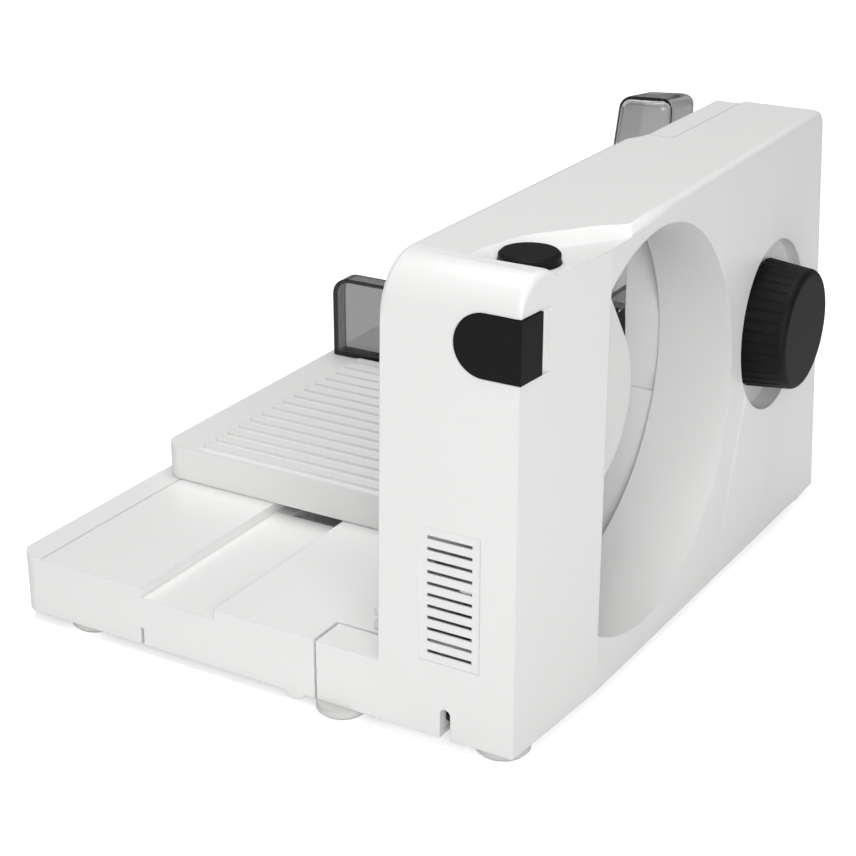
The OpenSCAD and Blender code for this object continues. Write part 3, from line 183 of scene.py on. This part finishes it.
# %% [markdown]
# The knife is stainless steel, ground while it spins. Grinding leaves rings round the axis about
# a tenth of a millimetre apart. They are drawn ten times as coarse so that they show, as a wave
# that runs with the distance from the axis, and they stretch the highlights into a fan. The
# zinc-plated steel parts were turned on a lathe, so they get fainter rings round the motor.

# %% Ground stainless steel and plated steel
KNIFE_AXIS = place(112, 57, 99.5)
MOTOR_AXIS = place(39.5, 20, 104.5)
ACROSS_AXIS = (1, 0, 1)
METAL_EDGE = 0.0002
RING_DEPTH = 0.0002
RING_GLOSS = (0.7, 1.3)


def turned_metal(name, colour, roughness, axis, ring_mm, depth):
    material, tree = new_material(name)
    coords = add(tree, "ShaderNodeTexCoord")
    centred = add(tree, "ShaderNodeMapping", {"Vector": coords.outputs["Object"]},
                  {"Location": -axis})
    flat = add(tree, "ShaderNodeVectorMath", {0: centred.outputs[0]}, {1: ACROSS_AXIS},
               operation="MULTIPLY")
    radius = add(tree, "ShaderNodeVectorMath", {0: flat.outputs[0]}, operation="LENGTH")
    rings = add(tree, "ShaderNodeTexNoise", {"W": radius.outputs["Value"]},
                {"Scale": MM_PER_M / ring_mm, "Detail": 3.0}, noise_dimensions="1D")
    edge = add(tree, "ShaderNodeBevel", sockets={"Radius": METAL_EDGE}, samples=4)
    bump = add(tree, "ShaderNodeBump",
               {"Height": rings.outputs["Fac"], "Normal": edge.outputs[0]},
               {"Strength": depth, "Distance": RING_DEPTH})
    rough = add(tree, "ShaderNodeMapRange", {"Value": rings.outputs["Fac"]},
                {"To Min": roughness * RING_GLOSS[0], "To Max": roughness * RING_GLOSS[1]})
    shader = add(tree, "ShaderNodeBsdfPrincipled",
                 {"Roughness": rough.outputs[0], "Normal": bump.outputs[0]},
                 {"Base Color": linear(colour), "Metallic": 1.0})
    finish_material(tree, shader)
    return material


ground_steel = turned_metal(
    "stainless_steel_ground", "#C6C8CA", roughness=0.24, axis=KNIFE_AXIS, ring_mm=1.0, depth=0.35)
zinc_steel = turned_metal(
    "zinc_plated_steel", "#C2C4C6", roughness=0.36, axis=MOTOR_AXIS, ring_mm=2.0, depth=0.15)
print("made", ground_steel.name, zinc_steel.name)

# %% [markdown]
# The hand guard and the food holder are clear acrylic with a smoky dye in it. The dye takes light
# away over the whole path, so a thin wall looks grey and an edge, which is looked at along its
# length, looks nearly black. A volume that absorbs light does this. Most of the light that enters
# an edge is trapped, which a renderer follows only for a few bounces, and a real edge also bends
# the dark surroundings into view, while the world here is white. So the surface colour is also
# painted dark in two places, as painted shade: where a wide Bevel turns the normal away from the
# face's own, which is at a sharp edge, and where it is seen at a grazing angle. The guard's
# moulding is the darker one, so it gets the stronger dye.

# %% Smoked acrylic
FLOW_MM = 40
FLOW_DEPTH = 0.001
FLOW_STRENGTH = 0.03
ACRYLIC_EDGE = 0.0005
RIM_RADIUS = 0.0014
RIM_TURN = (0.8, 0.98)
GRAZING_POWER = 3.0
# Painted shade: the near-black colour is painted on sharp edges and grazing faces, and the
# near-white one elsewhere.
PAINTED_EDGE_SHADE, UNSHADED_FACE_COLOUR = linear("#1E1E1E"), linear("#FAFAFA")


def smoked_acrylic(name, dye_per_metre):
    material, tree = new_material(name)
    coords = add(tree, "ShaderNodeTexCoord")
    flow = add(tree, "ShaderNodeTexNoise", {"Vector": coords.outputs["Object"]},
               {"Scale": MM_PER_M / FLOW_MM, "Detail": 1.0})
    edge = add(tree, "ShaderNodeBevel", sockets={"Radius": ACRYLIC_EDGE}, samples=4)
    bump = add(tree, "ShaderNodeBump",
               {"Height": flow.outputs["Fac"], "Normal": edge.outputs[0]},
               {"Strength": FLOW_STRENGTH, "Distance": FLOW_DEPTH})
    # Painted shade mask: a wide Bevel against the true normal finds sharp edges, and Layer Weight
    # finds grazing angles.
    wide = add(tree, "ShaderNodeBevel", sockets={"Radius": RIM_RADIUS}, samples=8)
    face = add(tree, "ShaderNodeNewGeometry")
    turn = add(tree, "ShaderNodeVectorMath",
               {0: wide.outputs[0], 1: face.outputs["True Normal"]}, operation="DOT_PRODUCT")
    rim = add(tree, "ShaderNodeMapRange", {"Value": turn.outputs["Value"]},
              {"From Min": RIM_TURN[0], "From Max": RIM_TURN[1]})
    slant = add(tree, "ShaderNodeLayerWeight", sockets={"Blend": 0.5})
    grazing = add(tree, "ShaderNodeMath", {0: slant.outputs["Facing"]}, {1: GRAZING_POWER},
                  operation="POWER")
    direct = add(tree, "ShaderNodeMath", {1: grazing.outputs[0]}, {0: 1.0}, operation="SUBTRACT")
    clear = add(tree, "ShaderNodeMath", {0: rim.outputs[0], 1: direct.outputs[0]},
                operation="MULTIPLY")
    # Painted shade: the base colour is mixed towards near black where the mask finds an edge or a
    # grazing angle.
    painted_edge_shade = add(tree, "ShaderNodeMix", {"Factor": clear.outputs[0]},
               {"A": PAINTED_EDGE_SHADE, "B": UNSHADED_FACE_COLOUR}, data_type="RGBA")
    shader = add(tree, "ShaderNodeBsdfPrincipled",
                 {"Normal": bump.outputs[0], "Base Color": painted_edge_shade.outputs["Result"]},
                 {"Roughness": 0.03, "IOR": 1.49, "Transmission Weight": 1.0})
    dye = add(tree, "ShaderNodeVolumeAbsorption",
              sockets={"Color": linear("#000000"), "Density": dye_per_metre})
    add(tree, "ShaderNodeOutputMaterial",
        {"Surface": shader.outputs[0], "Volume": dye.outputs[0]})
    return material


smoked = smoked_acrylic("smoked_acrylic_holder", dye_per_metre=110.0)
smoked_dark = smoked_acrylic("smoked_acrylic_guard", dye_per_metre=400.0)
print("made", smoked.name, smoked_dark.name)

# %% [markdown]
# The circuit board is glass-fibre laminate under green lacquer, with copper tracks that show as
# slightly lighter lines. It sits in the dark behind the vents, so a small grid of tracks is
# enough. The Brick texture measures a line's width in its own unit, a brick's spacing.

# %% Lacquered laminate
TRACK_SPACING_MM = 12
TRACK_WIDTH = 0.03
laminate, tree = new_material("circuit_board_lacquered")
coords = add(tree, "ShaderNodeTexCoord")
tracks = add(tree, "ShaderNodeTexBrick", {"Vector": coords.outputs["Object"]},
             {"Color1": linear("#1F6B3A"), "Color2": linear("#236F3E"),
              "Mortar": linear("#3F8F55"), "Scale": MM_PER_M / TRACK_SPACING_MM,
              "Mortar Size": TRACK_WIDTH})
shader = add(tree, "ShaderNodeBsdfPrincipled", {"Base Color": tracks.outputs["Color"]},
             {"Roughness": 0.35})
finish_material(tree, shader)
print("made", laminate.name)

# %% [markdown]
# Each part takes the material that its slot in the record names, and the hand guard takes the
# darker acrylic. The mesh of a part is never touched: only its material slots are filled.

# %% Give every part its finish
FINISHES = {
    "glossy_white_abs": white_abs, "matt_black_plastic": black_abs,
    "stainless_steel": ground_steel, "zinc_plated_steel": zinc_steel,
    "white_acetal": white_acetal, "grey_rubber": grey_rubber,
    "smoked_clear_plastic": smoked, "black_rubber": black_rubber,
    "circuit_board_laminate": laminate,
}
for part in frame["record"]["subparts"]:
    mesh = nodes[part["node"]].data
    mesh.materials.clear()
    mesh.materials.append(FINISHES[part["material_slot"]])
nodes["hand_guard"].data.materials[0] = smoked_dark

# %% [markdown]
# The new pieces are shaped with the operators that a hand would use. An operator acts on all
# that is selected, so each piece is first made the only selected one. A solid's mesh is loose
# triangles, so a copy of one has its doubled points merged before anything is cut from it or
# joined to it. A finished piece rides on a body and replaces the solids that it stands for.

# %% Helpers that shape a piece and hand it over
MERGE_DISTANCE = 0.000002


def choose(piece):
    bpy.ops.object.select_all(action="DESELECT")
    bpy.context.view_layer.objects.active = piece
    piece.select_set(True)


def apply_modifier(piece, kind, **settings):
    choose(piece)
    modifier = piece.modifiers.new(kind.lower(), kind)
    for key, value in settings.items():
        setattr(modifier, key, value)
    bpy.ops.object.modifier_apply(modifier=modifier.name)


def clean_mesh(piece):
    choose(piece)
    bpy.ops.object.mode_set(mode="EDIT")
    bpy.ops.mesh.select_all(action="SELECT")
    bpy.ops.mesh.remove_doubles(threshold=MERGE_DISTANCE)
    bpy.ops.mesh.normals_make_consistent(inside=False)
    bpy.ops.object.mode_set(mode="OBJECT")


def copy_of(node, name):
    piece = bpy.data.objects.new(name, nodes[node].data.copy())
    bpy.context.scene.collection.objects.link(piece)
    clean_mesh(piece)
    return piece


def use_up(tool, piece, operation):
    apply_modifier(piece, "BOOLEAN", operation=operation, solver="EXACT", object=tool)
    bpy.data.objects.remove(tool)


def cut_away_box(piece, centre, size):
    bpy.ops.object.select_all(action="DESELECT")
    bpy.ops.mesh.primitive_cube_add(size=1, location=centre)
    block = bpy.context.object
    block.dimensions = size
    bpy.ops.object.transform_apply(location=True, rotation=True, scale=True)
    use_up(block, piece, "DIFFERENCE")


def ride_as(piece, body, slot, material, *replaced):
    piece.data.materials.clear()
    piece.data.materials.append(material)
    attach(piece, body)
    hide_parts(*replaced)


print("doubled points are merged within", MERGE_DISTANCE * MM_PER_M, "mm")

# %% [markdown]
# On the real machine the outer shell, the chute's tube and the two hinge ears are one moulding.
# The frame holds them as three solids. Copies of them are joined here with a Boolean union, so
# that no seam shows between them. The wall behind the vents is milled thinner from inside, as a
# grille is on a real moulding, so that the slots show the dark inside and not their own floors.
# The union is shaded smooth where its facets meet at less than 25 degrees, but a face that lies
# square to the machine stays flat, so that no curve beside it bends its shading.

# %% The housing as one moulding
VENT_POCKET_MM = ((1.1, 17.5, 35), (2.7, 39, 87))
HOUSING_SMOOTH_DEG = 25
SQUARE_FACE = 0.995
housing = copy_of("housing_shell", "housing_moulding")
for other in ("chute_liner", "hinge_ears"):
    use_up(copy_of(other, "joined_" + other), housing, "UNION")
low, high = (place(*corner) for corner in VENT_POCKET_MM)
cut_away_box(housing, (low + high) / 2, high - low)
clean_mesh(housing)
bpy.ops.object.shade_smooth_by_angle(angle=math.radians(HOUSING_SMOOTH_DEG))
for face in housing.data.polygons:
    face.use_smooth = face.use_smooth and max(abs(v) for v in face.normal) < SQUARE_FACE
ride_as(housing, "root", "glossy_white_abs", white_abs,
        "housing_shell", "chute_liner", "hinge_ears")
print("housing faces:", len(housing.data.polygons))

# %% [markdown]
# To bevel some edges or open one side, those edges or faces are chosen in code, by their place
# or direction. Choosing works in object mode and the tools work in edit mode, so the helpers
# switch between the two. edit_faces stays in edit mode, ready for the tool that follows it. A
# face counts as facing a direction when that part of its normal is more than 0.9.

# %% Helpers that choose edges and faces
FACING = 0.9


def choose_nothing(piece, select_mode):
    choose(piece)
    bpy.ops.object.mode_set(mode="EDIT")
    bpy.ops.mesh.select_mode(type=select_mode)
    bpy.ops.mesh.select_all(action="DESELECT")
    bpy.ops.object.mode_set(mode="OBJECT")


def bevel_edges(piece, radius_mm, segments, wanted):
    choose_nothing(piece, "EDGE")
    points = [v.co for v in piece.data.vertices]
    for edge in piece.data.edges:
        edge.select = wanted(points[edge.vertices[0]], points[edge.vertices[1]])
    picked = sum(edge.select for edge in piece.data.edges)
    bpy.ops.object.mode_set(mode="EDIT")
    bpy.ops.mesh.bevel(offset=radius_mm / MM_PER_M, segments=segments, affect="EDGES")
    bpy.ops.object.mode_set(mode="OBJECT")
    return picked


def edit_faces(piece, wanted):
    choose_nothing(piece, "FACE")
    for face in piece.data.polygons:
        face.select = wanted(face)
    bpy.ops.object.mode_set(mode="EDIT")


print("helpers ready: bevel_edges and edit_faces")

# %% [markdown]
# The tower of the food holder is a tapered hood whose mould has generous rounds. It is modelled
# as a cube whose eight corners are pulled to their places: the base is larger than the roof, and
# the roof falls away to the far side. The upright edges and the roof's edges are beveled, the
# bottom is opened, and Solidify gives it a wall.

# %% The food holder's tower
BASE_MM = [(262, 61.8), (299, 61.8), (262, 105.8), (299, 105.8)]
ROOF_MM = [(264, 61.8, 195.4), (299, 61.8, 192.4), (264, 88.8, 194.4), (299, 88.8, 190.6)]
UPRIGHT_ROUND_MM, ROOF_ROUND_MM = 6.0, 5.5
ROUND_SEGMENTS = 6
TALL_EDGE = 0.1
ROOF_HEIGHT = 0.17
TOWER_WALL = 0.0022
foot_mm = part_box("food_holder")[0][2] * MM_PER_M + ORIGIN_MM[2]
bpy.ops.object.select_all(action="DESELECT")
bpy.ops.mesh.primitive_cube_add(size=2, location=(0, 0, 0))
tower = bpy.context.object
tower.name = "holder_tower_moulding"
for point in tower.data.vertices:
    corner = 2 * (point.co.y > 0) + (point.co.x > 0)
    if point.co.z > 0:
        point.co = place(*ROOF_MM[corner])
    else:
        point.co = place(*BASE_MM[corner], foot_mm)
upright = bevel_edges(tower, UPRIGHT_ROUND_MM, ROUND_SEGMENTS,
                      lambda a, b: abs(a.z - b.z) > TALL_EDGE)
roof = bevel_edges(tower, ROOF_ROUND_MM, ROUND_SEGMENTS,
                   lambda a, b: a.z > ROOF_HEIGHT and b.z > ROOF_HEIGHT)
edit_faces(tower, lambda face: face.normal.z < -FACING)
bpy.ops.mesh.delete(type="FACE")
bpy.ops.object.mode_set(mode="OBJECT")
apply_modifier(tower, "SOLIDIFY", thickness=TOWER_WALL, offset=-1.0, use_even_offset=True)
print("tower edges beveled:", upright, roof, "faces:", len(tower.data.polygons))

# %% [markdown]
# A bridge carries the tower over the hand guard, and its shape in the solid model is right. It
# is cut from a copy of that solid, close beside the tower. Its cut end is drawn out by less than
# the tower's wall, so that the two overlap, and they are joined.

# %% The bridge, joined to the tower
BRIDGE_END_MM = 261.98
BRIDGE_OVERLAP = 0.0016
SAW_SIZE = (0.2, 0.4, 0.4)
FACE_TOLERANCE = 0.0001
TOWER_SMOOTH_DEG = 30
SAW_HEIGHT = 0.1
bridge = copy_of("food_holder", "holder_bridge")
edge_x = place(BRIDGE_END_MM, 0, 0).x
cut_away_box(bridge, (edge_x + SAW_SIZE[0] / 2, 0, SAW_HEIGHT), SAW_SIZE)
edit_faces(bridge, lambda face: (face.normal.x > FACING
                                 and face.center.x > edge_x - FACE_TOLERANCE))
bpy.ops.mesh.extrude_region_move(TRANSFORM_OT_translate={"value": (BRIDGE_OVERLAP, 0, 0)})
bpy.ops.object.mode_set(mode="OBJECT")
use_up(bridge, tower, "UNION")
clean_mesh(tower)
bpy.ops.object.shade_smooth_by_angle(angle=math.radians(TOWER_SMOOTH_DEG))
ride_as(tower, "holder", "smoked_clear_plastic", smoked, "food_holder")
print("tower with bridge, faces:", len(tower.data.polygons))

# %% [markdown]
# A push button comes back by a small coil spring of hard-drawn wire. It is made as a spring
# winder makes it: a round wire section is swept round an axis while it moves along it, which is
# what the Screw modifier does.

# %% A wound spring
WIRE_SIDES = 8
STEPS_PER_TURN = 20
WIRE_SMOOTH_DEG = 50


def coil_spring(name, wire_mm, coil_mm, length_mm, turns):
    bpy.ops.object.select_all(action="DESELECT")
    radius = (coil_mm - wire_mm) / 2 / MM_PER_M
    wire_radius = wire_mm / 2 / MM_PER_M
    bpy.ops.mesh.primitive_circle_add(
        vertices=WIRE_SIDES, radius=wire_radius, fill_type="NOTHING",
        location=(radius, 0, wire_radius), rotation=(math.pi / 2, 0, 0))
    spring = bpy.context.object
    spring.name = name
    bpy.ops.object.transform_apply(location=True, rotation=True, scale=True)
    apply_modifier(
        spring, "SCREW", axis="Z", angle=2 * math.pi, iterations=turns, steps=STEPS_PER_TURN,
        render_steps=STEPS_PER_TURN, screw_offset=(length_mm - wire_mm) / MM_PER_M / turns,
        use_merge_vertices=True)
    bpy.ops.object.mode_set(mode="EDIT")
    bpy.ops.mesh.select_all(action="SELECT")
    bpy.ops.mesh.fill_holes(sides=WIRE_SIDES)
    bpy.ops.mesh.normals_make_consistent(inside=False)
    bpy.ops.object.mode_set(mode="OBJECT")
    bpy.ops.object.shade_smooth_by_angle(angle=math.radians(WIRE_SMOOTH_DEG))
    return spring


def settle(piece, spot, turn=(0, 0, 0)):
    choose(piece)
    piece.location = spot
    piece.rotation_euler = turn
    bpy.ops.object.transform_apply(location=True, rotation=True, scale=True)


def size_mm(piece):
    return tuple(round(v * MM_PER_M, 1) for v in piece.dimensions)


print("a turn of wire has", WIRE_SIDES * STEPS_PER_TURN, "faces")

# %% [markdown]
# The start button's spring stands upright. The locking button's spring lies along the slab. It is
# drawn at the length that it has with the button pressed, and it rides with the button.

# %% The two springs
low, high = (Vector(c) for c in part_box("start_spring"))
middle = (low + high) / 2
start_coil = coil_spring("start_coil_spring", wire_mm=0.7, coil_mm=7.6,
                         length_mm=(high.z - low.z) * MM_PER_M, turns=6)
settle(start_coil, (middle.x, middle.y, low.z))
ride_as(start_coil, "root", "zinc_plated_steel", zinc_steel, "start_spring")
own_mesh(start_coil)
low, high = (Vector(c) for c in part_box("lock_spring"))
middle = (low + high) / 2
lock_coil = coil_spring("lock_coil_spring", wire_mm=0.6, coil_mm=5.8,
                        length_mm=(high.x - low.x) * MM_PER_M, turns=9)
settle(lock_coil, (low.x, middle.y, middle.z), (0, math.pi / 2, 0))
ride_as(lock_coil, "lock", "zinc_plated_steel", zinc_steel, "lock_spring")
print("springs in mm:", size_mm(start_coil), size_mm(lock_coil))

# %% [markdown]
# The slicer stands on a plain pale floor, large enough that its edge is never seen. The floor
# glows a little for the camera alone: less near the object, where its shadow shows, and fully
# from three metres on, where the floor meets the background. The glow lights nothing.

# %% Floor
FLOOR_SIZE = 60
GLOW_STARTS, GLOW_IS_FULL = 0.6, 3.0
bpy.ops.object.select_all(action="DESELECT")
bpy.ops.mesh.primitive_plane_add(size=FLOOR_SIZE, location=(0, 0, 0))
floor = bpy.context.object
floor.name = "floor"
floor_paint, tree = new_material("floor_paint_white")
rays = add(tree, "ShaderNodeLightPath")
diffuse = add(tree, "ShaderNodeBsdfDiffuse", sockets={"Color": linear("#F2F2F2")})
coords = add(tree, "ShaderNodeTexCoord")
distance = add(tree, "ShaderNodeVectorMath", {0: coords.outputs["Object"]}, operation="LENGTH")
far = add(tree, "ShaderNodeMapRange", {"Value": distance.outputs["Value"]},
          {"From Min": GLOW_STARTS, "From Max": GLOW_IS_FULL}, interpolation_type="SMOOTHSTEP")
fade = add(tree, "ShaderNodeMix", {"Factor": far.outputs[0]},
           {"A": linear("#C0C0C0"), "B": linear("#FFFFFF")}, data_type="RGBA")
glow = add(tree, "ShaderNodeEmission",
           {"Strength": rays.outputs["Is Camera Ray"], "Color": fade.outputs["Result"]})
both = add(tree, "ShaderNodeAddShader", {0: diffuse.outputs[0], 1: glow.outputs[0]})
finish_material(tree, both)
floor.data.materials.append(floor_paint)
print("floor made,", FLOOR_SIZE, "m across")

# %% [markdown]
# To the camera, and through the clear plastic, the world is plain white. For all other light it
# is dim, so that it only lifts the shadows and the lamps do the modelling.

# %% World
AMBIENT_STRENGTH, BACKDROP_STRENGTH = 0.2, 1.0
world = bpy.data.worlds.new("studio")
bpy.context.scene.world = world
world.use_nodes = True
tree = world.node_tree
tree.nodes.clear()
rays = add(tree, "ShaderNodeLightPath")
seen = add(tree, "ShaderNodeMath",
           {0: rays.outputs["Is Camera Ray"], 1: rays.outputs["Is Transmission Ray"]},
           operation="MAXIMUM")
ambient = add(tree, "ShaderNodeBackground",
              sockets={"Color": linear("#FFFFFF"), "Strength": AMBIENT_STRENGTH})
backdrop = add(tree, "ShaderNodeBackground",
               sockets={"Color": linear("#FFFFFF"), "Strength": BACKDROP_STRENGTH})
mix = add(tree, "ShaderNodeMixShader",
          {0: seen.outputs[0], 1: ambient.outputs[0], 2: backdrop.outputs[0]})
add(tree, "ShaderNodeOutputWorld", {"Surface": mix.outputs[0]})
print("world made")

# %% [markdown]
# Two big soft boxes light the portrait. One stands beside the camera and looks into the chute,
# so that the chute is nearly as bright as the face round it. One hangs overhead and lights the
# top, the table and the tray.

# %% Lamps


def soft_box(name, spot, target, size, watts):
    bpy.ops.object.light_add(type="AREA", location=spot)
    lamp = bpy.context.object
    lamp.name = name
    lamp.data.shape = "DISK"
    lamp.data.size = size
    lamp.data.energy = watts
    lamp.rotation_euler = (Vector(target) - Vector(spot)).to_track_quat("-Z", "Y").to_euler()


soft_box("soft_box_front", spot=(-1.6, -1.2, 0.9), target=(0, 0, 0.08), size=1.6, watts=27)
soft_box("soft_box_top", spot=(0.1, 0.2, 2.2), target=(0, 0, 0), size=1.8, watts=31)

# %% [markdown]
# The camera stands where the photographer stood. Its place and direction were worked out from
# the machine's own straight edges, and the lens is the one that gives the same foreshortening.

# %% Camera
LENS_MM, SENSOR_MM = 79.19, 36.0
CAMERA_MM = (-544.9, -283.6, 392.2)
LOOK_DIRECTION = Vector((0.79566, 0.46852, -0.38394))
camera_data = bpy.data.cameras.new("portrait_camera")
camera_data.lens = LENS_MM
camera_data.sensor_width = SENSOR_MM
camera = bpy.data.objects.new("portrait_camera", camera_data)
bpy.context.scene.collection.objects.link(camera)
camera.location = place(*CAMERA_MM)
camera.rotation_euler = LOOK_DIRECTION.to_track_quat("-Z", "Y").to_euler()
bpy.context.scene.camera = camera
bpy.context.scene.view_settings.view_transform = "Standard"
print("camera at", tuple(round(v, 4) for v in camera.location))
